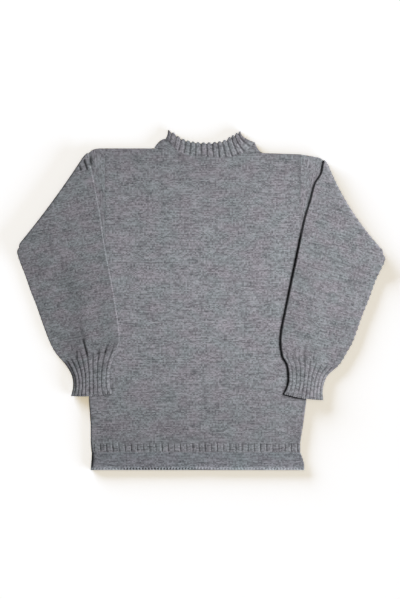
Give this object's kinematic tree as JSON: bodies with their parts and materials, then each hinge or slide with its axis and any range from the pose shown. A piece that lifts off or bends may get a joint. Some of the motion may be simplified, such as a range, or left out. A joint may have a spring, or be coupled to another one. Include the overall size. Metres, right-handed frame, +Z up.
{
  "type": "mock-turtleneck knitted sweater",
  "caption": "Wool fisherman's jumper laid flat, face up: ribbed stand-up collar, sleeves folded over the front, ribbed cuffs, plain hem welt with side vents.",
  "frame": {"origin": "middle of the laid-out garment, on the surface that it lies on", "axes": "+X to the right seen from above with the collar at the top, across both sleeves; +Y from the hem towards the collar; +Z up, out of the front of the garment"},
  "size_m": [0.8142, 0.7535, 0.0106],
  "materials": {
    "body_wool": "matt heathered grey wool, plain knit",
    "sleeve_wool": "matt heathered grey wool, plain knit",
    "rib_wool": "matt heathered grey wool, ribbed knit"
  },
  "bodies": {
    "root": {"back": "body_wool", "front": "body_wool", "hem_ribs_back": "rib_wool", "hem_ribs_front": "rib_wool", "welt_back": "body_wool", "welt_front": "body_wool", "collar": "rib_wool", "neck_gusset_left": "body_wool", "neck_gusset_right": "body_wool", "sleeve_left": "sleeve_wool", "sleeve_right": "sleeve_wool", "cuff_left": "rib_wool", "cuff_right": "rib_wool"}
  },
  "joints": []
}
